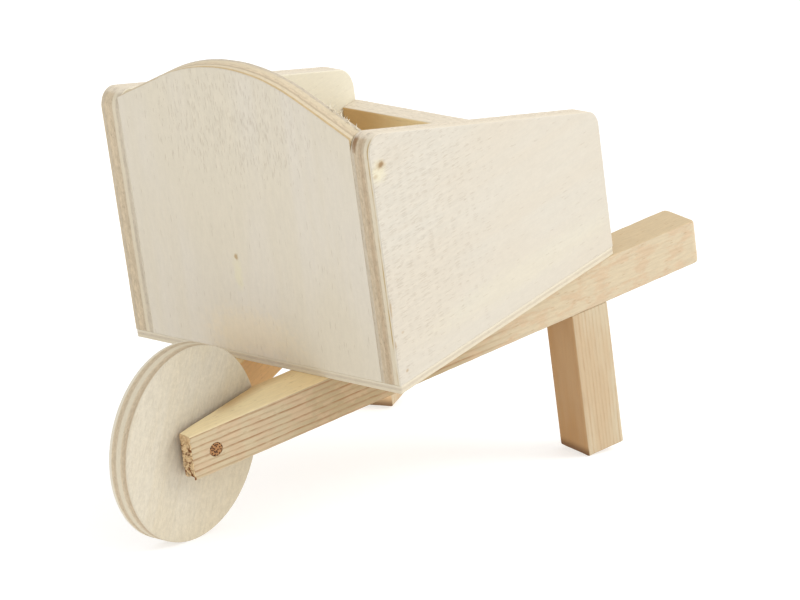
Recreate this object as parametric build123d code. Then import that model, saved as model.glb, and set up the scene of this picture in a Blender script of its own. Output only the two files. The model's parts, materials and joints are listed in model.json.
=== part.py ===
from build123d import *

import math
import os

# Miniature wooden wheelbarrow: a plywood tray glued on two pine rails that run in a V from the
# handles to the wheel, two pine legs, a plywood wheel and a bamboo skewer as its axle.
#
# Everything is modelled on the bench first: +X forwards to the wheel, +Y to the left, +Z up,
# the rails' upper faces at Z = 0 and the axle above the origin of X and Y. At the end the
# wheelbarrow is tipped until it stands on its wheel and legs, and the origin goes to the
# bottom centre of its bounding box.

# ---------------------------------------------------------------- driving dimensions, mm
# Stock
PLY = 5.0                   # five-layer plywood of the walls and the wheel
BASE_PLY = 1.8              # three-layer plywood under the walls
BAR_WIDTH = 10.0            # pine bar of the rails and legs, across
BAR_HEIGHT = 10.0           # pine bar of the rails, top to bottom
LEG_DEPTH = 10.0            # pine bar of the legs, along the rail
SKEWER_DIAMETER = 3.0       # bamboo axle

# Tray
TRAY_LENGTH = 75.8          # over the front and rear panels
TRAY_WIDTH = 72.6           # over the side panels
FRONT_HEIGHT = 58.6         # rails to the side panels' top edge, at the front corner before rounding
REAR_HEIGHT = 33.6          # the same at the rear corner
REAR_PANEL_DROP = 7.3       # side panels' rear corner down to the rear panel's top
FRONT_CORNER_RADIUS = 3.5
REAR_CORNER_RADIUS = {"left": 4.0, "right": 6.0}    # sanded by hand, not alike
ARCH_DROP = 1.9             # side panels' front corner down to the arch's ends
ARCH_RISE = 11.0            # arch's ends up to its crown
SHOULDER_SLOPE = 26.8       # degrees; straight shoulders, then a round crown tangent to them

# Wheel
WHEEL_DIAMETER = 41.8
BORE_CLEARANCE = 0.05       # radial, so that the wheel turns on the skewer
WHEEL_SIDE_GAP = 1.1        # from the wheel's face to the rail beside it
WHEEL_TRAY_GAP = 7.8        # from the wheel's rim to the tray's front face, at axle height

# Rails and legs
CHEEK = 5.2                 # rail left beside the wheel, at the axle
FRONT_OVERHANG = 6.4        # along the rail's outer face, from the axle to its front end
RAIL_PROUD = 0.5            # rail's outer face outside the tray's side, at the tray's rear
HANDLE_LENGTH = 22.8        # rail behind the tray, along its outer face
LEG_LENGTH = 33.8           # below the rail
LEG_SETBACK = 3.7           # leg's rear face ahead of the tray's rear, along the rail

# ---------------------------------------------------------------- derived places
wheel_radius = WHEEL_DIAMETER / 2
tray_front = -(wheel_radius + WHEEL_TRAY_GAP)
tray_rear = tray_front - TRAY_LENGTH
half_width = TRAY_WIDTH / 2
inner_half_width = half_width - PLY
axle_height = -BAR_HEIGHT / 2

cheek_inner = PLY / 2 + WHEEL_SIDE_GAP          # rail's face beside the wheel
axle_half_span = cheek_inner + CHEEK            # rail's outer face at the axle
splay = math.atan2(half_width + RAIL_PROUD - axle_half_span, -tray_rear)

to_tray_rear = -tray_rear / math.cos(splay)     # along the rail, from the axle
rail_end = to_tray_rear + HANDLE_LENGTH
leg_rear = to_tray_rear - LEG_SETBACK


def along_rail(distance, depth=0.0):
    """Plan point of the left rail: distance behind the axle along its outer face, depth inwards."""
    return (
        -distance * math.cos(splay) - depth * math.sin(splay),
        axle_half_span + distance * math.sin(splay) - depth * math.cos(splay),
    )


def on_side(shape, side):
    """A piece of the left side, or its mirror image for the right side."""
    return shape if side == "left" else mirror(shape, about=Plane.XZ)


# ---------------------------------------------------------------- tray
def bottom_board():
    """Thin board under all four walls, flush with their outer faces."""
    centre = ((tray_front + tray_rear) / 2, 0, BASE_PLY / 2)
    return Pos(*centre) * Box(TRAY_LENGTH, TRAY_WIDTH, BASE_PLY)


def side_panel(side):
    """Tall at the front and low at the rear, with both upper corners rounded."""
    front_top = (tray_front, FRONT_HEIGHT)
    rear_top = (tray_rear, REAR_HEIGHT)
    outline = Polyline(
        (tray_front, BASE_PLY), front_top, rear_top, (tray_rear, BASE_PLY), close=True
    )
    face = make_face(outline)
    face = fillet([nearest_vertex(face, front_top)], FRONT_CORNER_RADIUS)
    face = fillet([nearest_vertex(face, rear_top)], REAR_CORNER_RADIUS[side])
    # Plane.XZ looks along +Y with its normal towards -Y, so the sheet grows inwards
    sheet = extrude(Plane.XZ.offset(-half_width) * face, PLY)
    return on_side(sheet, side)


def nearest_vertex(face, point):
    """The face's corner at a point of its own plane."""
    return min(face.vertices(), key=lambda v: math.dist((v.X, v.Y), point))


def arch_crown_radius():
    """Radius of the round crown that joins both shoulders without a corner."""
    slope = math.radians(SHOULDER_SLOPE)
    drop_if_straight = inner_half_width * math.tan(slope)
    return (drop_if_straight - ARCH_RISE) / (1 / math.cos(slope) - 1)


def front_panel():
    """Front wall between the side panels, its upper edge an arch."""
    slope = math.radians(SHOULDER_SLOPE)
    radius = arch_crown_radius()
    ends = FRONT_HEIGHT - ARCH_DROP
    crown = ends + ARCH_RISE
    tangent_y = radius * math.sin(slope)
    tangent_z = crown - radius * (1 - math.cos(slope))
    arc = ThreePointArc((-tangent_y, tangent_z), (0, crown), (tangent_y, tangent_z))
    rest = Polyline(
        (tangent_y, tangent_z),
        (inner_half_width, ends),
        (inner_half_width, BASE_PLY),
        (-inner_half_width, BASE_PLY),
        (-inner_half_width, ends),
        (-tangent_y, tangent_z),
    )
    face = make_face([arc, rest])
    return extrude(Plane.YZ.offset(tray_front - PLY) * face, PLY)


def rear_panel():
    """Low straight wall between the side panels."""
    top = REAR_HEIGHT - REAR_PANEL_DROP
    centre = (tray_rear + PLY / 2, 0, (BASE_PLY + top) / 2)
    return Pos(*centre) * Box(PLY, 2 * inner_half_width, top - BASE_PLY)


# ---------------------------------------------------------------- rails, legs, wheel, axle
def axle_bore(diameter):
    """A long round rod on the axle's line, to cut with."""
    return Pos(0, 0, axle_height) * Rot(90, 0, 0) * Cylinder(diameter / 2, 4 * axle_half_span)


def rail(side):
    """Straight square-cut bar, its inner face planed parallel to the wheel at the front."""
    outer_front = along_rail(-FRONT_OVERHANG)
    # the square-cut front end meets the planed face where its depth reaches cheek_inner
    end_depth = (outer_front[1] - cheek_inner) / math.cos(splay)
    # the full-width inner face meets the planed face where its own offset is cheek_inner
    planed_length = (
        cheek_inner - axle_half_span + BAR_WIDTH * math.cos(splay)
    ) / math.sin(splay)
    plan = Polyline(
        outer_front,
        along_rail(rail_end),
        along_rail(rail_end, BAR_WIDTH),
        along_rail(planed_length, BAR_WIDTH),
        along_rail(-FRONT_OVERHANG, end_depth),
        close=True,
    )
    bar = extrude(make_face(plan), BAR_HEIGHT, dir=(0, 0, -1))
    return on_side(bar - axle_bore(SKEWER_DIAMETER), side)


def leg(side):
    """Short square-cut bar, glued under the rail flush with its outer face."""
    front = leg_rear - LEG_DEPTH
    plan = Polyline(
        along_rail(front),
        along_rail(leg_rear),
        along_rail(leg_rear, BAR_WIDTH),
        along_rail(front, BAR_WIDTH),
        close=True,
    )
    block = extrude(make_face(plan), LEG_LENGTH, dir=(0, 0, -1))
    return on_side(Pos(0, 0, -BAR_HEIGHT) * block, side)


def wheel():
    """Plywood disc with a bore that runs freely on the axle."""
    disc = Pos(0, 0, axle_height) * Rot(90, 0, 0) * Cylinder(wheel_radius, PLY)
    return disc - axle_bore(SKEWER_DIAMETER + 2 * BORE_CLEARANCE)


def axle():
    """Bamboo skewer through both rails and the wheel, cut flush with the rails' outer faces."""
    reach = SKEWER_DIAMETER
    left_front = along_rail(-reach)
    left_rear = along_rail(reach)
    between_rails = Polyline(
        left_front,
        left_rear,
        (left_rear[0], -left_rear[1]),
        (left_front[0], -left_front[1]),
        close=True,
    )
    wedge = extrude(make_face(between_rails), BAR_HEIGHT, dir=(0, 0, -1))
    return axle_bore(SKEWER_DIAMETER) & wedge


# ---------------------------------------------------------------- standing pose
def standing_pitch():
    """Degrees that the handles rise until the wheel and the legs' front corners touch the ground."""
    corner_back = -along_rail(leg_rear - LEG_DEPTH)[0]
    corner_down = BAR_HEIGHT + LEG_LENGTH + axle_height
    reach = math.hypot(corner_back, corner_down)
    pitch = math.atan2(corner_down, corner_back) - math.asin(wheel_radius / reach)
    return math.degrees(pitch)


def standing(pieces):
    """All pieces tipped into the standing pose, origin at the bounding box's bottom centre."""
    tipped = {name: Rot(0, standing_pitch(), 0) * piece for name, piece in pieces.items()}
    boxes = [piece.bounding_box() for piece in tipped.values()]
    x_middle = (min(b.min.X for b in boxes) + max(b.max.X for b in boxes)) / 2
    bottom = min(b.min.Z for b in boxes)
    move = Pos(-x_middle, 0, -bottom)
    print(f"pitch {standing_pitch():.4f} deg, axle at ({axle_place(x_middle, bottom)})")
    return {name: move * piece for name, piece in tipped.items()}


def axle_place(x_middle, bottom):
    """The axle's X and Z in the standing pose, in words."""
    pitch = math.radians(standing_pitch())
    x = axle_height * math.sin(pitch) - x_middle
    z = axle_height * math.cos(pitch) - bottom
    return f"{x:.4f}, {z:.4f}"


pieces = {
    "bottom_board": bottom_board(),
    "front_panel": front_panel(),
    "rear_panel": rear_panel(),
    "wheel": wheel(),
    "axle": axle(),
}
for side in ("left", "right"):
    pieces[f"{side}_side_panel"] = side_panel(side)
    pieces[f"{side}_rail"] = rail(side)
    pieces[f"{side}_leg"] = leg(side)

os.makedirs("parts", exist_ok=True)
for name, piece in standing(pieces).items():
    piece.label = name
    export_step(piece, f"parts/{name}.step")
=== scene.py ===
import json
import math
import random

import bmesh
import bpy
from mathutils import Matrix, Vector, noise


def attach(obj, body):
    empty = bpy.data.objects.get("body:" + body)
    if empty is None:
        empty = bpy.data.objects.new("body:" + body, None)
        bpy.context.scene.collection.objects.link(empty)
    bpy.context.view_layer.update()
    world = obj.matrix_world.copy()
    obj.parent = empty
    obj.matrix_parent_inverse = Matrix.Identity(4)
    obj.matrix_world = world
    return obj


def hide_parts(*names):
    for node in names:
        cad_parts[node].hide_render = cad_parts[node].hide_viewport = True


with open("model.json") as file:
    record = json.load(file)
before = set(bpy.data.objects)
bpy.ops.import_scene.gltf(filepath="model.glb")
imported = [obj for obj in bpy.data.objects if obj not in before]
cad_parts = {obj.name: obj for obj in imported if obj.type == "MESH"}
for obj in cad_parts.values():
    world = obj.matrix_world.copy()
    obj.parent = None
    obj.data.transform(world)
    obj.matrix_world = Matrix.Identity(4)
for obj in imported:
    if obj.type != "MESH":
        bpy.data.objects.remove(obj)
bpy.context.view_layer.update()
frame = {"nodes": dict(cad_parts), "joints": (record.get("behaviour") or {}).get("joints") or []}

# Miniature wooden wheelbarrow: the looks of each wooden piece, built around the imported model.
#
# Every piece is modelled in millimetres in a flat frame of its own, whose Z runs through the
# sheet or bar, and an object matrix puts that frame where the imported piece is. The bench frame
# is the wheelbarrow before it was tipped onto its legs: X forwards, Y left, Z square to the
# rails, with its origin in the middle of the axle.

MM = 0.001

# ------------------------------------------------------------------ camera and light
CAMERA_PLACE = (0.8605685, 0.6968711, 0.3470647)
CAMERA_AZIMUTH = math.radians(128.3825)
CAMERA_ELEVATION = math.radians(15.5184)
CAMERA_ROLL = math.radians(-0.3282)
CAMERA_LENS = 241.05
CAMERA_NEAR = 0.01
SENSOR_WIDTH = 36.0

SKY_STRENGTH = 1.0
KEY_POWER = 9.5
KEY_SIZE = 0.8
KEY_PLACE = (-0.8, 0.9, 0.9)
KEY_AIM = (0, 0, 0.05)
FLOOR_RADIUS = 4.0
FLOOR_SEGMENTS = 96
FLOOR_SHADE = 0.52          # its own paleness
FLOOR_GLOW = 0.58           # light that comes through it from below

# ------------------------------------------------------------------ how finely pieces are made, mm
OUTLINE_STEP = 0.55         # along an edge
LEVEL_STEP = 0.14           # through a sheet's thickness
LEG_STEP = 0.5              # along a leg
SHARP_TURN = math.radians(14)
CORNER_RADIUS = 0.45        # upright corners of sheets and bars, eased by sanding
HANDLE_RADIUS = 1.4         # the same at the handles' ends
GLUED_RADIUS = 0.12         # the same where two pieces are glued flush
PANEL_ARRIS = 0.30
BAR_ARRIS = 0.38
WHEEL_ARRIS = 0.30
BOARD_ARRIS = 0.16
AXLE_HOLE = 1.56            # radius of the holes in the rails
END_PARTS = 40              # parts of a rail's long sides at least, and of its front end
WHEEL_GRAIN = math.radians(30)
ARRIS_STEPS = 4             # parts of every eased edge and corner
ARRIS_WEAR = 0.35           # how unevenly the arrises are eased
LEAST_WEAR = 0.6
MOST_WEAR = 1.3
DRILL_SEGMENTS = 48
DRILL_LENGTH = 60.0
WHEEL_SEGMENTS = 288
WHEEL_FACE_STEPS = 14       # from the wheel's rim to its bore
WHEEL_RIM_SHARE = 0.9       # of its radius: further out it is sawn
BORE_BEVEL = 0.15
AXLE_SEGMENTS = 40
AXLE_END_RINGS = 5          # in each end of the axle
AXLE_END_SHARE = 0.97       # of its radius, inside the bevel
AXLE_BEVEL_SHARE = 0.99     # of its half length, up to the bevel
AXLE_THINNER = 0.02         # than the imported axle
AXLE_SHORTER = 0.04         # at each end

# ------------------------------------------------------------------ torn ends and fibres, mm
ARCH_FIBRES = 16            # on the arch's rear edge
ARCH_FIBRE_REACH = (23.5, 30.6)     # to the left of the front wall's middle
END_FIBRES = 26             # on each rail's front end
END_WIDTH = 5.0             # of that end
PLANED_SPLAY = 0.268        # how fast a rail widens behind it, up to the bar's width
BAR_WIDTH = 10.0
FIBRE_RINGS = 5             # along a standing fibre
FIBRE_SIDES = 5             # round it
FIBRE_BEND = 0.25           # share of its length that the tip leans aside by
FIBRE_TAPER = 0.8           # share of its radius that is gone at the tip

# ------------------------------------------------------------------ wood, mm and shares
ANY_DEPTH = 1000            # reach of a mark through a sheet
KNOT_RAGGED = 0.8           # how ragged the rims of knots and other marks are
SHADE_RAGGED = 0.08         # the same for the shade inside the tray
FACE_SHARE = 0.488          # of a sheet's thickness, from its middle: outside it is face veneer
EDGE_SHARE = 0.462          # inside it is cut edge
GLUE_FADES_IN = (0.845, 0.875)      # shares of the thickness, from the inner face
GLUE_FADES_OUT = (0.935, 0.905)
BROWN_FADES_IN = (0.05, 0.10)
BROWN_FADES_OUT = (0.32, 0.22)
CORNER_BROWNING = 0.85
CORNER_REACH = 3.6          # of the browned corner
RAIL_PITH = (5.0, -60.0)    # middle of the rail's growth rings, Y and Z
RAIL_RING_SLOPE = 0.014     # how fast they sink towards the handle
RAIL_RING = 1.30            # width of a ring
LEG_RING = 0.95
LEG_RING_SLOPE = 0.25
WOOD_GLOSS = 0.25


# ------------------------------------------------------------------ bench frame
def face_up(node):
    """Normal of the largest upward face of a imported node."""
    faces = [p for p in frame["nodes"][node].data.polygons if p.normal.z > 0.5]
    return max(faces, key=lambda p: p.area).normal.copy()


def bench_matrix():
    """From the bench frame to the row frame."""
    up = face_up("bottom_board")
    left = Vector((0, 1, 0))
    forward = left.cross(up)
    axle = Vector(frame["joints"][0]["pos_m"])
    turn = Matrix((forward, left, up)).transposed().to_4x4()
    return Matrix.Translation(axle) @ turn


BENCH = bench_matrix()
TO_BENCH = BENCH.inverted()


def bench_points(node):
    """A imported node's vertices in the bench frame, mm."""
    return [(TO_BENCH @ v.co) / MM for v in frame["nodes"][node].data.vertices]


def bench_box(node):
    """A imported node's lowest and highest corner in the bench frame, mm."""
    points = bench_points(node)
    low = Vector([min(p[i] for p in points) for i in range(3)])
    high = Vector([max(p[i] for p in points) for i in range(3)])
    return low, high


def local_frame(origin, x_axis, y_axis):
    """Frame of a piece in the bench frame, mm: origin, and two of its axes."""
    x_axis = Vector(x_axis).normalized()
    y_axis = Vector(y_axis).normalized()
    turn = Matrix((x_axis, y_axis, x_axis.cross(y_axis))).transposed().to_4x4()
    return Matrix.Translation(Vector(origin)) @ turn


# ------------------------------------------------------------------ outlines
def cross(o, a, b):
    return (a[0] - o[0]) * (b[1] - o[1]) - (a[1] - o[1]) * (b[0] - o[0])


def hull(points):
    """Convex outline round flat points, anticlockwise."""
    ordered = sorted({(round(p[0], 3), round(p[1], 3)) for p in points})

    def half(run):
        chain = []
        for p in run:
            while len(chain) > 1 and cross(chain[-2], chain[-1], p) < 1e-4:
                chain.pop()
            chain.append(p)
        return chain[:-1]

    return [Vector(p) for p in half(ordered) + half(ordered[::-1])]


def turn_at(before, here, after):
    """How far an outline turns at a point."""
    return (here - before).angle(after - here)


def eased_corners(outline, radius_at):
    """The outline with each sharp corner replaced by a small arc of the radius wanted there."""
    eased = []
    count = len(outline)
    for i, here in enumerate(outline):
        before, after = outline[i - 1], outline[(i + 1) % count]
        turn = turn_at(before, here, after)
        if turn < SHARP_TURN:
            eased.append(here)
            continue
        back = (before - here).normalized()
        ahead = (after - here).normalized()
        radius = radius_at(here)
        reach = radius * math.tan(turn / 2)
        centre = here + (back + ahead).normalized() * radius / math.cos(turn / 2)
        start = here + back * reach - centre
        for k in range(ARRIS_STEPS + 1):
            angle = turn * k / ARRIS_STEPS
            eased.append(centre + Matrix.Rotation(angle, 2) @ start)
    return eased


def divided(outline, step, least=1):
    """The outline with its long sides divided; a side over two steps long gets at least that many."""
    points = []
    count = len(outline)
    for i, here in enumerate(outline):
        after = outline[(i + 1) % count]
        length = (after - here).length
        parts = max(1, round(length / step))
        if length > 2 * step:
            parts = max(parts, least)
        points += [here.lerp(after, k / parts) for k in range(parts)]
    return points


def outward_normals(outline):
    """Unit normal at each point of an anticlockwise outline."""
    normals = []
    count = len(outline)
    for i in range(count):
        along = (outline[(i + 1) % count] - outline[i - 1]).normalized()
        normals.append(Vector((along.y, -along.x)))
    return normals


# ------------------------------------------------------------------ meshes
def make_object(name, vertices, faces, smooth, place, body, nodes, slot, material):
    """A finished piece: its mesh in metres, its place, its body, its finish and what it stands for."""
    mesh = bpy.data.meshes.new(name)
    mesh.from_pydata([Vector(v) * MM for v in vertices], [], faces)
    mesh.polygons.foreach_set("use_smooth", smooth)
    mesh.materials.append(material)
    mesh.validate()
    mesh.update()
    piece = bpy.data.objects.new(name, mesh)
    bpy.context.scene.collection.objects.link(piece)
    origin, turn, _ = place.decompose()
    piece.matrix_world = BENCH @ Matrix.Translation(origin * MM) @ turn.to_matrix().to_4x4()
    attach(piece, body)
    if nodes:
        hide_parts(*nodes)
    return piece


def arris_profile(thickness, radius, level_step):
    """Levels through a sheet: (inset and rise as shares of the arris radius, height they start at)."""
    quarter = [k / ARRIS_STEPS * math.pi / 2 for k in range(ARRIS_STEPS + 1)]
    low = [(1 - math.sin(t), 1 - math.cos(t), 0.0) for t in quarter]
    high = [(inset, -rise, thickness) for inset, rise, _ in reversed(low)]
    parts = max(2, round((thickness - 2 * radius) / level_step))
    middle = []
    for k in range(1, parts):
        share = k / parts
        middle.append((0.0, 1 - 2 * share, thickness * share))
    return low + middle + high


def evenly(normal):
    """Arrises eased alike all round."""
    return 1.0


def slab(name, outline, thickness, arris, carve, level_step=LEVEL_STEP, ease=evenly, **kept):
    """A sheet or bar: the outline swept through the thickness, arrises eased, walls carved a little."""
    normals = outward_normals(outline)
    count = len(outline)
    levels = arris_profile(thickness, arris, level_step)
    vertices = []
    for inset, rise, base in levels:
        for i, point in enumerate(outline):
            wear_place = Vector((point.x * 0.35, point.y * 0.35, base * 0.7))
            worn = 1 + ARRIS_WEAR * noise.noise(wear_place)
            radius = arris * min(MOST_WEAR, max(LEAST_WEAR, worn)) * ease(normals[i])
            height = base + rise * radius
            depth = inset * radius + max(0.0, carve(point, normals[i], height))
            flat = point - normals[i] * depth
            vertices.append((flat.x, flat.y, height))
    faces = []
    for k in range(len(levels) - 1):
        for i in range(count):
            j = (i + 1) % count
            faces.append((k * count + i, k * count + j, (k + 1) * count + j, (k + 1) * count + i))
    smooth = [True] * len(faces)
    faces.append(tuple(reversed(range(count))))
    faces.append(tuple(range((len(levels) - 1) * count, len(levels) * count)))
    smooth += [False, False]
    return make_object(name, vertices, faces, smooth, **kept)


def lathe(name, profile, segments, carve, **kept):
    """A turned piece: a closed profile of (radius, height, smooth) swept round Z."""
    count = len(profile)
    vertices = []
    for s in range(segments):
        angle = 2 * math.pi * s / segments
        for radius, height, _ in profile:
            r = radius - max(0.0, carve(radius, angle, height))
            vertices.append((r * math.cos(angle), r * math.sin(angle), height))
    faces, smooth = [], []
    for s in range(segments):
        t = (s + 1) % segments
        for i in range(count):
            j = (i + 1) % count
            faces.append((s * count + i, t * count + i, t * count + j, s * count + j))
            smooth.append(profile[i][2])
    return make_object(name, vertices, faces, smooth, **kept)


def fibres(name, sprigs, **kept):
    """Wood fibres that stand out of a cut: thin bent slivers (root, direction, length, radius)."""
    vertices, faces = [], []
    for root, direction, length, radius in sprigs:
        along = direction.normalized()
        side = along.orthogonal().normalized()
        other = along.cross(side)
        first = len(vertices)
        for ring in range(FIBRE_RINGS):
            share = ring / (FIBRE_RINGS - 1)
            middle = root + along * length * share + side * FIBRE_BEND * length * share ** 2
            thick = radius * (1 - FIBRE_TAPER * share)
            for corner in range(FIBRE_SIDES):
                angle = 2 * math.pi * corner / FIBRE_SIDES
                vertices.append(middle + (side * math.cos(angle) + other * math.sin(angle)) * thick)
        for ring in range(FIBRE_RINGS - 1):
            low = first + ring * FIBRE_SIDES
            high = low + FIBRE_SIDES
            for k in range(FIBRE_SIDES):
                n = (k + 1) % FIBRE_SIDES
                faces.append((low + k, low + n, high + n, high + k))
        last = first + (FIBRE_RINGS - 1) * FIBRE_SIDES
        faces.append(tuple(reversed(range(first, first + FIBRE_SIDES))))
        faces.append(tuple(range(last, last + FIBRE_SIDES)))
    make_object(name, vertices, faces, [True] * len(faces), body="frame", nodes=[], **kept)


# ------------------------------------------------------------------ material nodes
class Shader:
    """One material's node tree, built with short calls."""

    def __init__(self, name):
        self.material = bpy.data.materials.new(name)
        self.material.use_nodes = True
        self.tree = self.material.node_tree
        self.tree.nodes.clear()
        found = self.tree.nodes.new("ShaderNodeTexCoord").outputs
        self.place = self.vector("MULTIPLY", found["Object"], (1 / MM,) * 3)
        self.normal = found["Normal"]

    def node(self, kind, sockets, **settings):
        made = self.tree.nodes.new(kind)
        for key, value in settings.items():
            setattr(made, key, value)
        for key, value in sockets.items():
            if isinstance(value, bpy.types.NodeSocket):
                self.tree.links.new(value, made.inputs[key])
            else:
                made.inputs[key].default_value = value
        return made

    def vector(self, operation, a, b):
        return self.node("ShaderNodeVectorMath", {0: a, 1: b}, operation=operation).outputs[0]

    def math(self, operation, a, b=0.0):
        return self.node("ShaderNodeMath", {0: a, 1: b}, operation=operation).outputs[0]

    def product(self, first, *others):
        for other in others:
            first = self.math("MULTIPLY", first, other)
        return first

    def axes(self, vector):
        return self.node("ShaderNodeSeparateXYZ", {0: vector}).outputs

    def join(self, x, y, z):
        return self.node("ShaderNodeCombineXYZ", {0: x, 1: y, 2: z}).outputs[0]

    def noise(self, stretch, detail=2.0, rough=0.5, shift=(0, 0, 0), at=None):
        """Noise of about 0.2 to 0.8, with stretch features to the mm along each axis."""
        shifted = self.vector("ADD", at or self.place, shift)
        scaled = self.vector("MULTIPLY", shifted, stretch)
        sockets = {"Vector": scaled, "Scale": 1.0, "Detail": detail, "Roughness": rough}
        return self.node("ShaderNodeTexNoise", sockets).outputs[0]

    def wander(self, stretch, amount, shift=(0, 0, 0)):
        """A slow noise about 0, to bend a line by."""
        return self.product(self.math("SUBTRACT", self.noise(stretch, shift=shift), 0.5), amount)

    def dashes(self, stretch, share, size=0.26, shift=(0, 0, 0), dimensions="3D"):
        """1 inside short dashes: one to a cell of the stretch, in that share of the cells."""
        shifted = self.vector("ADD", self.place, shift)
        scaled = self.vector("MULTIPLY", shifted, stretch)
        cells = self.node(
            "ShaderNodeTexVoronoi", {"Vector": scaled, "Scale": 1.0, "Randomness": 0.9},
            voronoi_dimensions=dimensions,
        )
        pick = self.axes(cells.outputs["Color"])[0]
        chosen = self.math("LESS_THAN", pick, share)
        inside = self.between(cells.outputs["Distance"], size, size * 0.55)
        return self.product(inside, chosen)

    def between(self, value, low, high, start=0.0, end=1.0):
        """Smooth step of a value from start at low to end at high."""
        sockets = {"Value": value, "From Min": low, "From Max": high, "To Min": start, "To Max": end}
        made = self.node("ShaderNodeMapRange", sockets, interpolation_type="SMOOTHSTEP")
        return made.outputs[0]

    def blend(self, factor, a, b):
        """Number between a and b."""
        return self.node("ShaderNodeMix", {0: factor, 2: a, 3: b}, data_type="FLOAT").outputs[0]

    def mix(self, factor, a, b, kind="MIX"):
        """Colour between a and b."""
        made = self.node("ShaderNodeMix", {}, data_type="RGBA", blend_type=kind)
        for index, value in ((0, factor), (6, a), (7, b)):
            if isinstance(value, bpy.types.NodeSocket):
                self.tree.links.new(value, made.inputs[index])
            else:
                made.inputs[index].default_value = value
        return made.outputs[2]

    def shaded(self, colour, shade):
        """The colour times a number."""
        grey = self.node("ShaderNodeCombineColor", {0: shade, 1: shade, 2: shade}).outputs[0]
        return self.mix(1.0, colour, grey, "MULTIPLY")

    def ramp(self, value, stops):
        """Colour and strength along a value: stops are (position, colour), strength is alpha."""
        made = self.node("ShaderNodeValToRGB", {0: value})
        band = made.color_ramp
        while len(band.elements) < len(stops):
            band.elements.new(0.5)
        for element, (position, colour) in zip(band.elements, stops):
            element.position = position
            element.color = colour
        return made.outputs[0], made.outputs[1]

    def spot(self, centre, reach, ragged=KNOT_RAGGED):
        """1 at a point of the piece, falling to 0 at a distance of reach along each axis, mm."""
        away = self.vector("SUBTRACT", self.place, centre)
        scaled = self.vector("DIVIDE", away, reach)
        length = self.node("ShaderNodeVectorMath", {0: scaled}, operation="LENGTH").outputs[1]
        bent = self.math("ADD", length, self.wander((0.9, 0.9, 0.9), ragged, shift=(7, 3, 1)))
        return self.between(bent, 0.25, 1.0, 1.0, 0.0)

    def marked(self, colour, marks, ragged=KNOT_RAGGED):
        """The colour with knots, stains and patches of painted shade and light:
        (x, y, reach x, reach y, colour, strength).
        """
        for x, y, reach_x, reach_y, stain, strength in marks:
            near = self.spot((x, y, 0), (reach_x, reach_y, ANY_DEPTH), ragged)
            amount = self.product(near, strength)
            colour = self.mix(amount, colour, stain)
        return colour

    def finish(self, colour, height, roughness, bump_depth):
        """The surface: matt wood with a bump whose height is in mm."""
        relief = {"Height": height, "Distance": bump_depth * MM, "Strength": 1.0}
        bump = self.node("ShaderNodeBump", relief)
        surface = {"Base Color": colour, "Roughness": roughness, "Normal": bump.outputs[0]}
        principled = self.node("ShaderNodeBsdfPrincipled", surface)
        principled.inputs["Specular IOR Level"].default_value = WOOD_GLOSS
        self.node("ShaderNodeOutputMaterial", {"Surface": principled.outputs[0]})
        return self.material


def tone(red, green, blue, grain=1.0):
    """Linear colour from display values of 0 to 255; grain says how rough a layer looks."""
    def linear(value):
        share = value / 255
        return share / 12.92 if share <= 0.04045 else ((share + 0.055) / 1.055) ** 2.4
    return (linear(red), linear(green), linear(blue), grain)


def directed(along, across, grain):
    """Stretch of a noise whose grain runs along "x" or "y" of a sheet."""
    if grain == "x":
        return (along, across, across)
    return (across, along, across)


# ------------------------------------------------------------------ materials
FACE = tone(213, 205, 190)
FACE_WARM = tone(212, 203, 184)
SIDE_FACE = tone(204, 197, 183)
SIDE_WARM = tone(204, 195, 179)
WHEEL_FACE = tone(209, 200, 181)
WHEEL_WARM = tone(207, 195, 170)
# the rear wall's inner veneer: its own honey tone, warmed further as painted bounce light inside the
# tray
HONEY_AND_PAINTED_BOUNCE = tone(242, 220, 177)
WARM_INSIDE = tone(226, 219, 199)
BOARD_WARM = tone(228, 215, 185)
# warm patch: partly the front veneer's own tone, partly painted bounce light from the rails
WARM_PATCH_AND_BOUNCE = tone(230, 214, 183)
FAINT_YELLOW = tone(216, 208, 182)
KNOT = tone(136, 104, 62)
STAIN = tone(170, 142, 102)
PORE = tone(152, 130, 104)
GLUE_LINE = tone(172, 142, 88)
TOP_PAINTED_LIGHT = tone(220, 209, 190)
# painted light: the tone of cut layers that face up, paler as if lit from above
CORNER_BROWN = tone(138, 104, 70)
# painted shade for the tray's far rear corner, on the rear wall's inner face
SHADED_HONEY = tone(186, 140, 78)

BARE = tone(217, 209, 191, 0.1)
PALE_PLY = tone(210, 199, 176, 0.3)
GREY_PLY = tone(192, 180, 160, 0.8)
TAN_PLY = tone(192, 175, 149)
DARK_PLY = tone(184, 164, 137)
WARM_PLY = tone(203, 186, 158)
CREAM_PLY = tone(207, 192, 164, 0.5)
SHADOW_PLY = tone(184, 167, 141, 0.6)
GOLD_PLY = tone(190, 166, 126, 0.7)
GOLD_ARRIS = tone(206, 184, 146, 0.3)
BOARD_BROWN = tone(198, 186, 166, 0.5)

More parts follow.
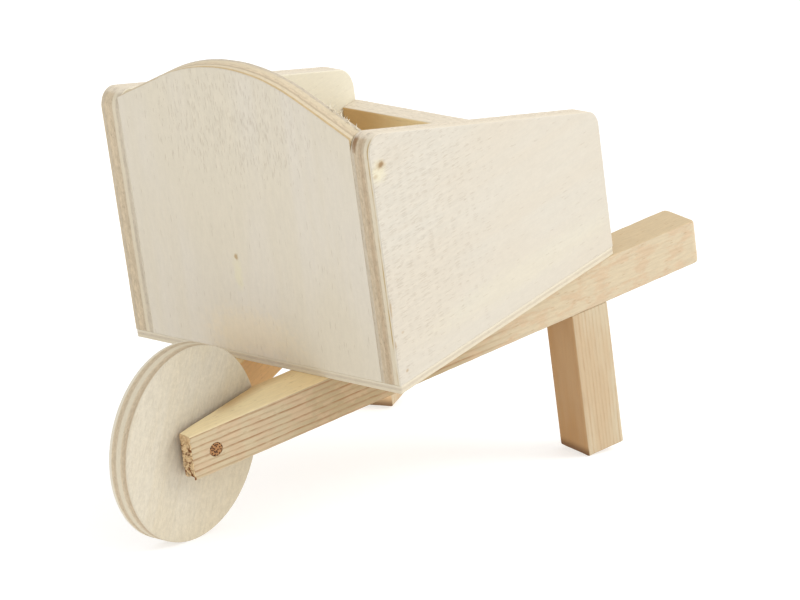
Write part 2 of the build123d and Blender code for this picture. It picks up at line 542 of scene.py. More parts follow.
LEFT_WALL_PLIES = [
    (0.00, PALE_PLY), (0.03, GREY_PLY), (0.15, GREY_PLY), (0.18, TAN_PLY), (0.38, TAN_PLY),
    (0.43, DARK_PLY), (0.56, DARK_PLY), (0.60, TAN_PLY), (0.67, TAN_PLY), (0.71, PALE_PLY),
    (0.86, PALE_PLY), (1.00, BARE),
]
RIGHT_WALL_PLIES = [
    (0.00, BARE), (0.06, GREY_PLY), (0.16, GREY_PLY), (0.24, PALE_PLY), (0.35, PALE_PLY),
    (0.41, TAN_PLY), (0.72, WARM_PLY), (0.80, TAN_PLY), (0.90, GREY_PLY), (0.96, GOLD_ARRIS),
    (1.00, BARE),
]
ARCH_PLIES = [
    (0.00, WARM_PLY), (0.05, GREY_PLY), (0.16, GREY_PLY), (0.23, CREAM_PLY), (0.38, CREAM_PLY),
    (0.44, WARM_PLY), (0.56, WARM_PLY), (0.60, SHADOW_PLY), (0.66, SHADOW_PLY), (0.71, CREAM_PLY),
    (0.84, CREAM_PLY), (0.88, GOLD_PLY), (0.95, GOLD_PLY), (1.00, BARE),
]
REAR_WALL_PLIES = [
    (0.00, BARE), (0.14, PALE_PLY), (0.20, WARM_PLY), (0.40, WARM_PLY), (0.45, PALE_PLY),
    (0.58, PALE_PLY), (0.64, WARM_PLY), (0.82, WARM_PLY), (0.88, PALE_PLY), (1.00, BARE),
]
WHEEL_PLIES = [
    (0.00, BARE), (0.14, BARE), (0.18, WARM_PLY), (0.26, TAN_PLY), (0.38, TAN_PLY),
    (0.44, PALE_PLY), (0.62, PALE_PLY), (0.68, WARM_PLY), (0.76, TAN_PLY), (0.90, DARK_PLY),
    (0.95, PALE_PLY), (1.00, BARE),
]
BOARD_PLIES = [
    (0.00, PALE_PLY), (0.35, PALE_PLY), (0.46, BOARD_BROWN), (0.66, BOARD_BROWN),
    (0.76, PALE_PLY), (1.00, BARE),
]


def edge_streaks(s, round_radius):
    """Fine streaks that run along a cut edge, and dark specks in it."""
    if round_radius:
        x, y, z = s.axes(s.place)
        angle = s.math("ARCTAN2", y, x)
        round_rim = s.join(s.product(angle, round_radius), 0.0, z)
        streaks = s.noise((0.8, 1.0, 2.0), 4.0, 0.75, (6, 6, 6), round_rim)
        specks = s.noise((1.1, 1.0, 2.4), 2.0, 0.6, (2, 8, 1), round_rim)
        return streaks, specks
    nx = s.axes(s.normal)[0]
    upright = s.between(s.math("ABSOLUTE", nx), 0.55, 0.80)
    streaks = s.blend(
        upright,
        s.noise((0.55, 2.0, 2.0), 4.0, 0.75, (6, 6, 6)),
        s.noise((2.0, 0.55, 2.0), 4.0, 0.75, (1, 6, 6)),
    )
    specks = s.blend(
        upright,
        s.noise((0.9, 2.4, 2.4), 2.0, 0.6, (2, 8, 1)),
        s.noise((2.4, 0.9, 2.4), 2.0, 0.6, (5, 8, 1)),
    )
    return streaks, specks


def plywood(
    name, thickness, plies, face, warm, grain,
    inside=None, marks=(), crowd=(0, 0, 1, 1), pores=0.2, round_radius=0.0, top_light=0.0, glue=0.0,
    mottling=0.012, painted_inside_shade=(), browned_corner=None,
):
    """Raw plywood: a fine-grained face veneer, and its layers where an edge is cut.

    plies is a list of (share of the thickness, colour) from the inner face to the outer one,
    face and warm the veneer's two tones, grain the axis that it runs along, inside the inner
    face's colour where it has its own (the rear wall's is warmed with painted bounce light),
    marks the knots, stains and patches (the front wall's warm patch is partly painted bounce
    light), and painted_inside_shade the patches of painted shade on the inner face.
    crowd is the place where pores stand close (x, y, reach x, reach y), pores their darkness,
    round_radius the radius of a round sheet, fade how much paler the cut layers are where
    they face up, as painted light from above, glue how clearly the last glue line shows,
    mottling how cloudy the face is, and browned_corner the place of a corner where the layer
    below the inner veneer is brown."""
    s = Shader(name)
    z = s.axes(s.place)[2]
    _, ny, nz = s.axes(s.normal)

    patches = s.noise(directed(0.020, 0.05, grain), shift=(13, 5, 2))
    colour = s.mix(s.between(patches, 0.42, 0.66), face, warm)
    bands = s.noise(directed(0.012, 0.30, grain), detail=3.0, shift=(4, 9, 0))
    colour = s.mix(s.between(bands, 0.38, 0.72, 0.0, 0.7), colour, warm)
    if inside:
        # inner face: its own colour, with patches of painted shade where a piece gives them
        inner_face = s.marked(inside, painted_inside_shade, SHADE_RAGGED)
        colour = s.mix(s.between(nz, -0.4, -0.8), colour, inner_face)
    colour = s.marked(colour, marks)

    fine = s.noise(directed(0.30, 1.7, grain), 4.0, 0.7)
    dense = s.spot((crowd[0], crowd[1], 0), (crowd[2], crowd[3], ANY_DEPTH))
    depth = s.blend(dense, 0.50, 1.0)
    shade = s.math("ADD", 1.0, s.product(s.between(fine, 0.30, 0.70, -0.055, 0.042), depth))
    mottle = s.noise((1.2, 1.2, 1.2), 3.0, 0.7, (3, 8, 8))
    shade = s.product(shade, s.between(mottle, 0.3, 0.7, 1.0 - mottling, 1.0 + mottling))
    pore = s.math(
        "MAXIMUM",
        s.dashes(directed(0.26, 2.8, grain), s.blend(dense, 0.01, 0.30), 0.32, dimensions="2D"),
        s.dashes(directed(0.40, 3.6, grain), s.blend(dense, 0.02, 0.38), 0.32, (17, 5, 3), "2D"),
    )
    pore = s.product(pore, s.between(mottle, 0.30, 0.60, 0.4, 1.0))
    colour = s.mix(s.product(pore, pores), colour, PORE)

    through = s.math("DIVIDE", z, thickness)
    bent = s.math("ADD", through, s.wander((0.12, 0.12, 0.12), 0.04, (2, 7, 4)))
    edge, strength = s.ramp(bent, plies)
    streaks, specks = edge_streaks(s, round_radius)
    dim = s.between(streaks, 0.30, 0.70, -0.13, 0.13)
    dim = s.math("SUBTRACT", dim, s.between(specks, 0.56, 0.70, 0.0, 0.16))
    edge_shade = s.math("ADD", 1.0, s.product(dim, strength))
    if glue:
        seen = s.between(s.noise((0.10, 0.10, 0.1), 2.0, 0.6, (9, 1, 5)), 0.36, 0.62)
        line = s.product(s.between(bent, *GLUE_FADES_IN), s.between(bent, *GLUE_FADES_OUT))
        edge = s.mix(s.product(line, seen, glue), edge, GLUE_LINE)
    if browned_corner:
        x, y = browned_corner
        near = s.spot((x, y, 0), (CORNER_REACH, CORNER_REACH, ANY_DEPTH))
        layer = s.product(s.between(bent, *BROWN_FADES_IN), s.between(bent, *BROWN_FADES_OUT))
        edge = s.mix(s.product(near, layer, CORNER_BROWNING), edge, CORNER_BROWN)
    # painted light: cut layers that face up are made paler, as if lit from above
    if top_light:
        edge = s.mix(s.between(ny, 0.78, 0.94, 0.0, top_light), edge, TOP_PAINTED_LIGHT)
    from_middle = s.math("ABSOLUTE", s.math("SUBTRACT", through, 0.5))
    on_edge = s.between(from_middle, FACE_SHARE, EDGE_SHARE)
    colour = s.mix(on_edge, colour, edge)
    colour = s.shaded(colour, s.blend(on_edge, shade, edge_shade))

    face_height = s.math("SUBTRACT", fine, s.product(pore, 0.8))
    edge_height = s.product(streaks, 1.6)
    height = s.blend(on_edge, face_height, edge_height)
    return s.finish(colour, height, s.between(fine, 0.2, 0.8, 0.62, 0.80), 0.035)


RAIL_PALE = tone(203, 187, 158)
RAIL_TIP = tone(199, 181, 148)
# painted shade: the outer face's tone under the tray, darker where the tray shades it
RAIL_PAINTED_TRAY_SHADE = tone(177, 156, 121)
RAIL_BLUSH = tone(200, 170, 138)
RAIL_LINE = tone(156, 119, 82)
RAIL_TOP_TIP = tone(240, 222, 178)
RAIL_TOP = tone(232, 206, 156)
# painted shade along the top's inner edge beside the wheel
RAIL_TOP_EDGE_SHADE = tone(184, 146, 94)
RAIL_TOP_REAR = tone(199, 178, 143)
# painted shade with warm bounce light, for the rails' inner faces under the tray
RAIL_INNER_PAINTED_SHADE = tone(210, 169, 112)
END_PALE = tone(230, 202, 158)
END_SMOOTH = tone(214, 184, 140)
END_DARK = tone(128, 80, 40)
LEG_PALE = tone(198, 182, 153)
LEG_BLUSH = tone(194, 171, 138)
LEG_LINE = tone(176, 144, 110)
# painted shade and light: the near leg's front face shaded brown, the far leg's lit
LEG_FRONT_SHADE = tone(171, 131, 85)
FAR_LEG_FRONT_LIT = tone(226, 192, 148)
# painted shade at the lowest end of each leg's front face
LEG_FOOT_SHADE = tone(96, 62, 34)


def growth_lines(s, distance, step, softness):
    """Late wood: lines that darken slowly and end sharply, every second one weaker."""
    turns = s.math("DIVIDE", distance, step)
    phase = s.math("FRACT", turns)
    late = s.product(s.between(phase, softness, 0.86), s.between(phase, 1.0, 0.92))
    second = s.math("LESS_THAN", s.math("FRACT", s.product(turns, 0.5)), 0.5)
    return s.product(late, s.blend(second, 1.0, 0.55))


def rail_pine(name, inner_side):
    """Raw planed pine: growth lines along the bar that grow fainter to the rear, and a torn front end.

    Painted shade darkens the outer face from the front towards the tray, and the top along its
    inner edge beside the wheel; the inner face under the tray gets painted shade with warm
    bounce light. inner_side is the sign of Y towards the wheel."""
    s = Shader(name)
    x, y, z = s.axes(s.place)
    nx, ny, nz = s.axes(s.normal)
    across = s.math("SUBTRACT", y, RAIL_PITH[0])
    up = s.math("ADD", s.math("SUBTRACT", z, RAIL_PITH[1]), s.product(x, RAIL_RING_SLOPE))
    distance = s.math("SQRT", s.math("ADD", s.product(across, across), s.product(up, up)))
    distance = s.math("ADD", distance, s.wander((0.015, 0.05, 0.05), 1.6, (3, 1, 8)))
    distance = s.math("ADD", distance, s.wander((0.12, 0.5, 0.5), 0.30, (1, 4, 4)))
    late = growth_lines(s, distance, RAIL_RING, 0.50)
    broken = s.noise((0.25, 1.9, 1.9), 3.0, 0.7, (9, 2, 6))
    to_rear = s.between(x, 58, 84, 0.95, 0.12)
    late = s.product(late, s.between(broken, 0.34, 0.60, 0.40, 1.0), to_rear)
    blotches = s.noise((0.20, 0.45, 0.45), 4.0, 0.65, (5, 5, 1))
    # painted shade: the outer face darkens from the front towards the tray, as if shaded by it
    colour = s.mix(s.between(x, 12, 30), RAIL_TIP, RAIL_PAINTED_TRAY_SHADE)
    colour = s.mix(s.between(x, 52, 84), colour, RAIL_PALE)
    colour = s.mix(s.between(blotches, 0.46, 0.60, 0.0, 0.5), colour, RAIL_BLUSH)
    top = s.mix(s.between(x, 10, 30), RAIL_TOP_TIP, RAIL_TOP)
    top = s.mix(s.between(x, 36, 90), top, RAIL_TOP_REAR)
    # painted shade along the top's inner edge, beside the wheel
    planed_edge = s.math("MINIMUM", s.math("ADD", s.product(x, PLANED_SPLAY), END_WIDTH), BAR_WIDTH)
    from_edge = s.math("SUBTRACT", planed_edge, s.math("ABSOLUTE", y))
    painted_edge_shade = s.product(s.between(from_edge, 4.0, 0.2), s.between(x, 36, 18), s.between(x, 3, 10))
    top = s.mix(s.product(painted_edge_shade, 0.8), top, RAIL_TOP_EDGE_SHADE)
    colour = s.mix(s.between(nz, 0.4, 0.8, 0.0, 0.9), colour, top)
    # painted shade with warm bounce light on the inner face under the tray
    inner = s.product(s.between(s.product(ny, inner_side), 0.4, 0.8, 0.0, 0.9), s.between(x, 96, 66))
    colour = s.mix(inner, colour, RAIL_INNER_PAINTED_SHADE)
    late = s.product(late, s.blend(inner, 1.0, 0.1), s.between(nz, 0.3, 0.7, 1.0, 0.06))
    colour = s.mix(late, colour, RAIL_LINE)
    fleck = s.dashes((0.5, 2.2, 2.2), 0.12, 0.34, (2, 2, 9))
    colour = s.mix(s.product(fleck, 0.30), colour, RAIL_LINE)
    strands = s.noise((0.30, 1.9, 1.9), 4.0, 0.75)
    colour = s.shaded(colour, s.between(strands, 0.30, 0.70, 0.93, 1.06))

    torn = s.product(s.between(nx, -0.35, -0.6), s.between(x, 4, 2))
    pits = s.noise((0.95, 0.95, 0.95), 4.0, 0.7, (1, 1, 1))
    smooth = s.between(z, 7.0, 8.6)
    end = s.mix(s.between(pits, 0.42, 0.53), END_DARK, END_PALE)
    end = s.mix(s.product(smooth, 0.85), end, END_SMOOTH)
    colour = s.mix(torn, colour, end)
    height = s.math("ADD", strands, s.product(late, 0.6))
    height = s.math("ADD", height, s.product(torn, pits, 4.0))
    return s.finish(colour, height, s.between(strands, 0.2, 0.8, 0.55, 0.75), 0.04)


def leg_pine(name, length, painted_front_tone):
    """Raw planed pine with its grain along Z; the front face has a painted tone of its own, shaded
    brown on the near leg and lit on the far one, and painted shade at its lowest end.
    """
    s = Shader(name)
    x, y, z = s.axes(s.place)
    nx = s.axes(s.normal)[0]
    distance = s.math("ADD", x, s.product(y, LEG_RING_SLOPE))
    distance = s.math("ADD", distance, s.wander((0.06, 0.06, 0.02), 3.0, (3, 1, 8)))
    late = growth_lines(s, distance, LEG_RING, 0.35)
    broken = s.noise((1.8, 1.8, 0.20), 2.0, 0.6, (9, 2, 6))
    late = s.product(late, s.between(broken, 0.35, 0.65, 0.15, 0.60))
    patches = s.noise((0.14, 0.14, 0.04), shift=(5, 5, 1))
    colour = s.mix(s.between(patches, 0.40, 0.64), LEG_PALE, LEG_BLUSH)
    front = s.between(nx, -0.3, -0.75)
    colour = s.mix(late, colour, LEG_LINE)
    # painted tone on the front face: shaded brown on the near leg, lit on the far one
    painted_front_shade = s.product(front, s.between(patches, 0.34, 0.66, 0.98, 0.72))
    colour = s.mix(painted_front_shade, colour, painted_front_tone)
    # painted shade at the lowest end of the front face
    painted_foot_shade = s.product(s.between(z, length - 2.6, length - 0.3), s.between(nx, -0.2, -0.5))
    colour = s.mix(s.product(painted_foot_shade, 0.8), colour, LEG_FOOT_SHADE)
    strands = s.noise((1.9, 1.9, 0.30), 4.0, 0.75)
    colour = s.shaded(colour, s.between(strands, 0.30, 0.70, 0.965, 1.028))
    height = s.math("ADD", strands, s.product(late, 0.5))
    return s.finish(colour, height, s.between(strands, 0.2, 0.8, 0.55, 0.75), 0.03)


BAMBOO_PALE = tone(172, 124, 80)
BAMBOO_DOT = tone(70, 40, 20)


def bamboo(name):
    """Bamboo skewer: long fibres, and dark bundle dots in the cut ends."""
    s = Shader(name)
    scaled = s.vector("MULTIPLY", s.place, (2.3, 2.3, 0.02))
    cells = s.node("ShaderNodeTexVoronoi", {"Vector": scaled, "Scale": 1.0, "Randomness": 0.75})
    dots = s.between(cells.outputs["Distance"], 0.34, 0.50, 1.0, 0.0)
    colour = s.mix(dots, BAMBOO_PALE, BAMBOO_DOT)
    height = s.math("SUBTRACT", 1.0, dots)
    return s.finish(colour, height, 0.7, 0.08)


FIBRE_PALE = tone(246, 238, 218)
FIBRE_TAN = tone(214, 180, 132)


def torn_fibres(name, pale, tan):
    """Torn wood fibres: pale, with browner lengths."""
    s = Shader(name)
    patches = s.noise((2.0, 2.0, 2.0), 3.0, 0.6)
    colour = s.mix(s.between(patches, 0.42, 0.62), pale, tan)
    return s.finish(colour, s.noise((6.0, 6.0, 6.0)), 0.75, 0.02)


# ------------------------------------------------------------------ carving
def sawn(point, normal, height):
    """A sawn and sanded edge: shallow waves along it and fine grooves between the layers."""
    slow = noise.noise(Vector((point.x * 0.12, point.y * 0.12, height * 0.3)))
    fine = noise.noise(Vector((point.x * 1.3, point.y * 1.3, height * 3.0)))
    return 0.03 + 0.02 * slow + 0.03 * fine


def planed(point, normal, height):
    """A planed side: almost flat."""
    return 0.015 + 0.012 * noise.noise(Vector((point.x * 0.3, point.y * 0.3, height * 1.5)))


def sanded(corner):
    """Radius of a sheet's corners."""
    return CORNER_RADIUS


def sanded_above(corner):
    """The same for a wall, whose lower corners are glued to the bottom board."""
    return CORNER_RADIUS if corner.y > 1 else GLUED_RADIUS


def glued_below(normal):
    """Share of a wall's arris: its lower edge is glued, its upright ends meet other walls."""
    if normal.y < -0.5:
        return 0.2
    return 1.0 if normal.y > 0.2 else 0.6


# ------------------------------------------------------------------ pieces
def panel(node, place, material, slot, arris=PANEL_ARRIS, corners=sanded_above, ease=glued_below):
    """A plywood sheet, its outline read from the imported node."""
    to_local = place.inverted()
    points = [to_local @ p for p in bench_points(node)]
    thickness = max(p.z for p in points)
    outline = divided(eased_corners(hull(points), corners), OUTLINE_STEP)
    return slab(
        node + "_wood", outline, thickness, arris, sawn, ease=ease,
        place=place, body="frame", nodes=[node], slot=slot, material=material,
    )


def left_wall():
    """Left side panel: X back from its front end, Z outwards."""
    low, high = bench_box("left_side_panel")
    ply = high.y - low.y
    marks = [
        (2.0, 47.6, 3.4, 3.6, FAINT_YELLOW, 0.9),
        (3.0, 48.9, 2.2, 1.3, STAIN, 0.55),
        (3.1, 48.9, 1.1, 0.75, KNOT, 0.75),
        (0.9, 47.0, 1.2, 0.7, STAIN, 0.4),
        (0.2, 17.5, 0.4, 2.6, STAIN, 0.6),
        (0.2, 9.4, 0.4, 1.4, STAIN, 0.5),
        (2.8, 2.5, 0.7, 0.5, STAIN, 0.6),
        (3.0, 11.2, 0.7, 0.5, STAIN, 0.4),
        (45, 7.2, 50, 4.5, FAINT_YELLOW, 0.22),
    ]
    place = local_frame((high.x, low.y, low.z), (-1, 0, 0), (0, 0, 1))
    material = plywood(
        "left_wall_plywood", ply, LEFT_WALL_PLIES, SIDE_FACE, SIDE_WARM, "x",
        inside=WARM_INSIDE, marks=marks, crowd=(0, 36, 46, 48), pores=0.22, top_light=0.75, glue=0.8,
        browned_corner=(0.9, high.z - low.z - 0.6),
    )
    panel("left_side_panel", place, material, "tray_plywood")


def right_wall():
    """Right side panel: X forwards from its rear end, Z outwards."""
    low, high = bench_box("right_side_panel")
    ply = high.y - low.y
    place = local_frame((low.x, high.y, low.z), (1, 0, 0), (0, 0, 1))
    material = plywood(
        "right_wall_plywood", ply, RIGHT_WALL_PLIES, SIDE_FACE, SIDE_WARM, "x",
        inside=WARM_INSIDE, crowd=(60, 20, 30, 30), pores=0.20, top_light=0.7,
    )
    panel("right_side_panel", place, material, "tray_plywood")


def front_wall():
    """Front panel: X to the left, Z forwards."""
    low, high = bench_box("front_panel")
    ply = high.x - low.x
    marks = [
        (-4.2, 19.0, 1.6, 6.0, FAINT_YELLOW, 0.9),
        (-4.2, 22.6, 0.7, 1.1, STAIN, 0.8),
        # a warm patch low on the front: partly the veneer's own warmth, partly painted bounce light
        (-3.0, 5.0, 17, 8, WARM_PATCH_AND_BOUNCE, 0.45),
    ]
    place = local_frame((low.x, 0, low.z), (0, 1, 0), (0, 0, 1))
    material = plywood(
        "front_wall_plywood", ply, ARCH_PLIES, FACE, FACE_WARM, "y",
        inside=WARM_INSIDE, marks=marks, crowd=(0, 54, 28, 18), pores=0.25,
    )
    panel("front_panel", place, material, "tray_plywood")


def top_at(outline, x):
    """Height of an outline's upper edge at x."""
    heights = []
    for i, here in enumerate(outline):
        before = outline[i - 1]
        if (before.x - x) * (here.x - x) < 0:
            heights.append(before.y + (here.y - before.y) * (x - before.x) / (here.x - before.x))
    return max(heights)


def arch_fibres():
    """Fibres left by the saw on the arch's rear edge, near its left end."""
    low, _ = bench_box("front_panel")
    place = local_frame((low.x, 0, low.z), (0, 1, 0), (0, 0, 1))
    outline = hull([place.inverted() @ p for p in bench_points("front_panel")])
    chance = random.Random(5)
    sprigs = []
    for _ in range(ARCH_FIBRES):
        x = chance.uniform(*ARCH_FIBRE_REACH)
        root = Vector((x, top_at(outline, x) - 0.2, chance.uniform(0.1, 0.9)))
        direction = Vector((chance.uniform(-0.7, 0.9), 1.0, chance.uniform(-0.9, 0.1)))
        sprigs.append((root, direction, chance.uniform(0.8, 1.7), chance.uniform(0.09, 0.17)))
    material = torn_fibres("arch_fibre_wood", FIBRE_PALE, FACE_WARM)
    fibres("arch_fibres", sprigs, place=place, slot="tray_plywood", material=material)


def rear_wall():
    """Rear panel: X to the right, Z backwards."""
    low, high = bench_box("rear_panel")
    ply = high.x - low.x
    # painted shade in the far rear corner of the tray, on the inner face
    painted_corner_shade = (high.y, high.z - low.z, 22, 34, SHADED_HONEY, 0.7)
    place = local_frame((high.x, 0, low.z), (0, -1, 0), (0, 0, 1))
    # inner face honey, warmed with painted bounce light
    material = plywood(
        "rear_wall_plywood", ply, REAR_WALL_PLIES, FACE, FACE_WARM, "x",
        inside=HONEY_AND_PAINTED_BOUNCE, crowd=(0, 12, 30, 10), pores=0.25, top_light=0.9, painted_inside_shade=[painted_corner_shade],
    )
    panel("rear_panel", place, material, "tray_plywood")


def bottom():
    """Thin board under the walls: X forwards, Z up."""
    low, high = bench_box("bottom_board")
    ply = high.z - low.z
    place = local_frame((0, 0, low.z), (1, 0, 0), (0, 1, 0))
    material = plywood(
        "bottom_board_plywood", ply, BOARD_PLIES, WARM_INSIDE, BOARD_WARM, "y", pores=0.25,
    )
    panel("bottom_board", place, material, "base_plywood", BOARD_ARRIS, sanded, evenly)


def rail_frame(node):
    """A rail's own frame: X back along its outer face from its front end, Z up."""
    low, _ = bench_box(node)
    plan = hull(bench_points(node))
    sides = [(plan[i - 1], plan[i]) for i in range(len(plan))]
    ends = max(sides, key=lambda side: (side[1] - side[0]).length)
    front, rear = sorted(ends, key=lambda p: -p.x)
    along = (rear - front).to_3d()
    up = Vector((0, 0, 1))
    return local_frame((front.x, front.y, low.z), along, up.cross(along))


def rail_carve(point, normal, height):
    """Planed sides, and a rough torn front end with its corners broken off."""
    depth = planed(point, normal, height)
    if normal.x < -0.3:
        strands = noise.noise(Vector((point.y * 2.2, height * 2.2, 3.1)))
        tears = noise.noise(Vector((point.y * 5.5, height * 5.5, 9.4)))
        chips = max(0.0, noise.noise(Vector((point.y * 0.5, height * 0.7, 5.0))))
        low_corner = max(0.0, 2.0 - height) * 0.40
        rough = 0.28 + 0.34 * strands + 0.34 * tears + 0.6 * chips + low_corner
        depth += max(0.0, rough) * min(1.0, -normal.x)
    return depth


def drill(piece, radius):
    """A hole for the axle through a piece, along the bench's Y."""
    mesh = bpy.data.meshes.new("drill")
    form = bmesh.new()
    bmesh.ops.create_cone(
        form, cap_ends=True, segments=DRILL_SEGMENTS,
        radius1=radius * MM, radius2=radius * MM, depth=DRILL_LENGTH * MM,
    )
    form.to_mesh(mesh)
    form.free()
    cutter = bpy.data.objects.new("drill", mesh)
    bpy.context.scene.collection.objects.link(cutter)
    cutter.matrix_world = BENCH @ Matrix.Rotation(math.pi / 2, 4, "X")
    bpy.context.view_layer.update()
    modifier = piece.modifiers.new("axle hole", "BOOLEAN")
    modifier.object = cutter
    modifier.solver = "EXACT"
    shape = piece.evaluated_get(bpy.context.evaluated_depsgraph_get())
    drilled = bpy.data.meshes.new_from_object(shape)
    piece.modifiers.clear()
    piece.data = drilled
    bpy.data.objects.remove(cutter)


def rails():
    """Two pine bars, rough at the front end and drilled for the axle."""
    for side, inner_side in (("left", 1), ("right", -1)):
        node = f"{side}_rail"
        place = rail_frame(node)
        points = [place.inverted() @ p for p in bench_points(node)]
        length = max(p.x for p in points)
        height = max(p.z for p in points)

        def rounding(corner):
            return HANDLE_RADIUS if corner.x > length / 2 else CORNER_RADIUS

        outline = divided(eased_corners(hull(points), rounding), OUTLINE_STEP, END_PARTS)
        piece = slab(
            f"{side}_rail_wood", outline, height, BAR_ARRIS, rail_carve, ease=worn_handle,
            place=place, body="frame", nodes=[node], slot="rail_pine",
            material=rail_pine(f"{side}_rail_pine", inner_side),
        )
        drill(piece, AXLE_HOLE)
        end_fibres(side, place, inner_side, height)


def worn_handle(normal):
    """Share of a rail's arris: rounder at the handle's end."""
    return 1 + 1.5 * max(0.0, normal.x) ** 2


def end_fibres(side, place, inner_side, height):
    """Torn fibres on a rail's front end."""
    chance = random.Random(inner_side + 11)
    sprigs = []
    for _ in range(END_FIBRES):
        y = inner_side * chance.uniform(0.5, END_WIDTH - 0.4)
        root = Vector((0.6, y, chance.uniform(0.9, 0.75 * height)))
        direction = Vector((-1.0, chance.uniform(-0.7, 0.7), chance.uniform(-0.9, 0.5)))
        sprigs.append((root, direction, chance.uniform(0.5, 0.9), chance.uniform(0.10, 0.20)))
    material = torn_fibres(f"{side}_end_fibre_wood", FIBRE_TAN, END_DARK)
    fibres(f"{side}_rail_fibres", sprigs, place=place, slot="rail_pine", material=material)


def legs():
    """Two short pine bars under the rails."""
    # the near leg's front face gets painted shade, the far leg's painted light
    for side, painted_front_tone in (("left", LEG_FRONT_SHADE), ("right", FAR_LEG_FRONT_LIT)):
        node = f"{side}_leg"
        rail = rail_frame(f"{side}_rail")
        turn = rail.to_3x3()
        low, high = bench_box(node)
        middle = (low + high) / 2
        place = local_frame((middle.x, middle.y, high.z), turn.col[0], -turn.col[1])
        points = [place.inverted() @ p for p in bench_points(node)]
        height = max(p.z for p in points)
        outline = divided(eased_corners(hull(points), sanded), OUTLINE_STEP)
        slab(
            f"{side}_leg_wood", outline, height, BAR_ARRIS, planed, LEG_STEP,
            place=place, body="frame", nodes=[node], slot="leg_pine",
            material=leg_pine(f"{side}_leg_pine", height, painted_front_tone),
        )


def wheel():
    """Plywood disc, sawn round, with its bore."""
    low, high = bench_box("wheel")
    radius = (high.z - low.z) / 2
    thickness = high.y - low.y
    bore = min(math.hypot(p.x, p.z) for p in bench_points("wheel"))
    lean_x, lean_z = math.sin(WHEEL_GRAIN), math.cos(WHEEL_GRAIN)
    place = local_frame((0, low.y, 0), (-lean_z, 0, -lean_x), (-lean_x, 0, lean_z))
    material = plywood(
        "wheel_disc_plywood", thickness, WHEEL_PLIES, WHEEL_FACE, WHEEL_WARM, "y",
        crowd=(0, 0, 40, 40), pores=0.14, round_radius=radius, mottling=0.050,
    )

    def carve(r, angle, height):
        if r < radius * WHEEL_RIM_SHARE:
            return 0.0
        around = Vector((math.cos(angle), math.sin(angle), 0)) * radius
        return sawn(around, None, height)

    rim = []
    for inset, rise, base in arris_profile(thickness, WHEEL_ARRIS, LEVEL_STEP):
        rim.append([radius - inset * WHEEL_ARRIS, base + rise * WHEEL_ARRIS, True])
    rim[-1][2] = False
    steps = WHEEL_FACE_STEPS
    inner = bore + BORE_BEVEL
    outer = radius - WHEEL_ARRIS
    top = [[outer + (inner - outer) * k / steps, thickness, False] for k in range(1, steps)]
    hole = [
        [inner, thickness, True], [bore, thickness - BORE_BEVEL, True],
        [bore, BORE_BEVEL, True], [inner, 0.0, False],
    ]
    underside = [[inner + (outer - inner) * k / steps, 0.0, False] for k in range(1, steps)]
    lathe(
        "wheel_wood", rim + top + hole + underside, WHEEL_SEGMENTS, carve,
        place=place, body="wheel", nodes=["wheel"], slot="wheel_plywood", material=material,
    )


def axle():
    """Bamboo skewer, its ends cut flush with the rails."""
    low, high = bench_box("axle")
    radius = (high.z - low.z) / 2
    points = bench_points("axle")
    left_end = [p for p in points if p.y > 0]
    slope = (max(p.y for p in left_end) - min(p.y for p in left_end)) / (2 * radius)
    half = sum(p.y for p in left_end) / len(left_end)
    place = local_frame((0, 0, 0), (-1, 0, 0), (0, 0, 1))
    segments, rings = AXLE_SEGMENTS, AXLE_END_RINGS
    vertices, faces, smooth = [], [], []
    end = [k / rings * radius * AXLE_END_SHARE for k in range(1, rings + 1)]
    wall = radius - AXLE_THINNER
    profile = [(r, 1) for r in end]
    profile += [(wall, AXLE_BEVEL_SHARE), (wall, -AXLE_BEVEL_SHARE)]
    profile += [(r, -1) for r in reversed(end)]
    for r, share in profile:
        for k in range(segments):
            angle = 2 * math.pi * k / segments
            x, y = r * math.cos(angle), r * math.sin(angle)
            reach = half + x * slope - AXLE_SHORTER
            vertices.append((x, y, share * reach))
    for ring in range(len(profile) - 1):
        here = ring * segments
        after = here + segments
        for k in range(segments):
            n = (k + 1) % segments
            faces.append((here + n, here + k, after + k, after + n))
            smooth.append(ring == rings)
    faces.append(tuple(range(segments)))
    last = (len(profile) - 1) * segments
    faces.append(tuple(reversed(range(last, last + segments))))
    smooth += [False, False]
    make_object(
        "axle_skewer", vertices, faces, smooth, place, "frame", ["axle"], "axle_bamboo",
        bamboo("axle_bamboo_wood"),
    )


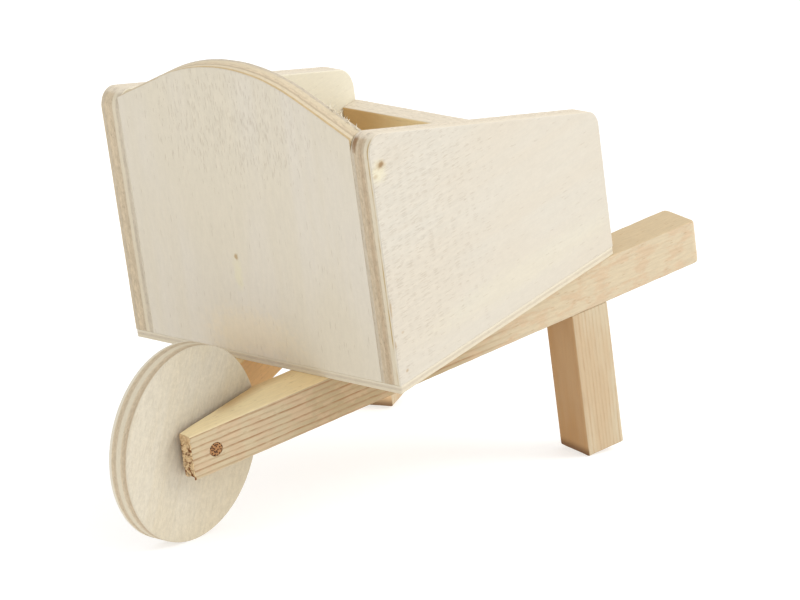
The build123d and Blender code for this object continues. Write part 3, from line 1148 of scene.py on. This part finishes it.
# ------------------------------------------------------------------ stage
def floor():
    """Plain pale floor, far wider than the view, lit a little from below like a light table."""
    mesh = bpy.data.meshes.new("floor")
    form = bmesh.new()
    bmesh.ops.create_circle(form, cap_ends=True, segments=FLOOR_SEGMENTS, radius=FLOOR_RADIUS)
    form.to_mesh(mesh)
    form.free()
    material = bpy.data.materials.new("floor_white")
    material.use_nodes = True
    surface = material.node_tree.nodes["Principled BSDF"]
    surface.inputs["Base Color"].default_value = (FLOOR_SHADE, FLOOR_SHADE, FLOOR_SHADE, 1)
    surface.inputs["Roughness"].default_value = 0.9
    surface.inputs["Specular IOR Level"].default_value = 0.1
    surface.inputs["Emission Color"].default_value = (1, 1, 1, 1)
    surface.inputs["Emission Strength"].default_value = FLOOR_GLOW
    mesh.materials.append(material)
    piece = bpy.data.objects.new("floor", mesh)
    bpy.context.scene.collection.objects.link(piece)


def light():
    """White surround and one large soft light, high up, to the left and behind."""
    world = bpy.data.worlds.new("studio")
    bpy.context.scene.world = world
    world.use_nodes = True
    background = world.node_tree.nodes["Background"]
    background.inputs["Color"].default_value = (1.0, 1.0, 1.0, 1.0)
    background.inputs["Strength"].default_value = SKY_STRENGTH
    lamp = bpy.data.lights.new("key", "AREA")
    lamp.shape = "DISK"
    lamp.size = KEY_SIZE
    lamp.energy = KEY_POWER
    holder = bpy.data.objects.new("key", lamp)
    bpy.context.scene.collection.objects.link(holder)
    holder.location = KEY_PLACE
    aim = Vector(KEY_AIM) - Vector(KEY_PLACE)
    holder.rotation_euler = aim.to_track_quat("-Z", "Y").to_euler()


def camera():
    """The view: low, from the front left."""
    a, e, r = CAMERA_AZIMUTH, CAMERA_ELEVATION, CAMERA_ROLL
    back = Vector((math.sin(a) * math.cos(e), -math.cos(a) * math.cos(e), math.sin(e)))
    level = Vector((math.cos(a), math.sin(a), 0))
    right = level * math.cos(r) + back.cross(level) * math.sin(r)
    up = back.cross(right)
    lens = bpy.data.cameras.new("camera")
    lens.sensor_width = SENSOR_WIDTH
    lens.lens = CAMERA_LENS
    lens.clip_start = CAMERA_NEAR
    holder = bpy.data.objects.new("camera", lens)
    bpy.context.scene.collection.objects.link(holder)
    turn = Matrix((right, up, back)).transposed().to_4x4()
    holder.matrix_world = Matrix.Translation(Vector(CAMERA_PLACE)) @ turn
    bpy.context.scene.camera = holder


camera()
light()
floor()
left_wall()
right_wall()
front_wall()
arch_fibres()
rear_wall()
bottom()
rails()
legs()
wheel()
axle()
bpy.context.scene.view_settings.view_transform = "Standard"
bpy.context.view_layer.update()
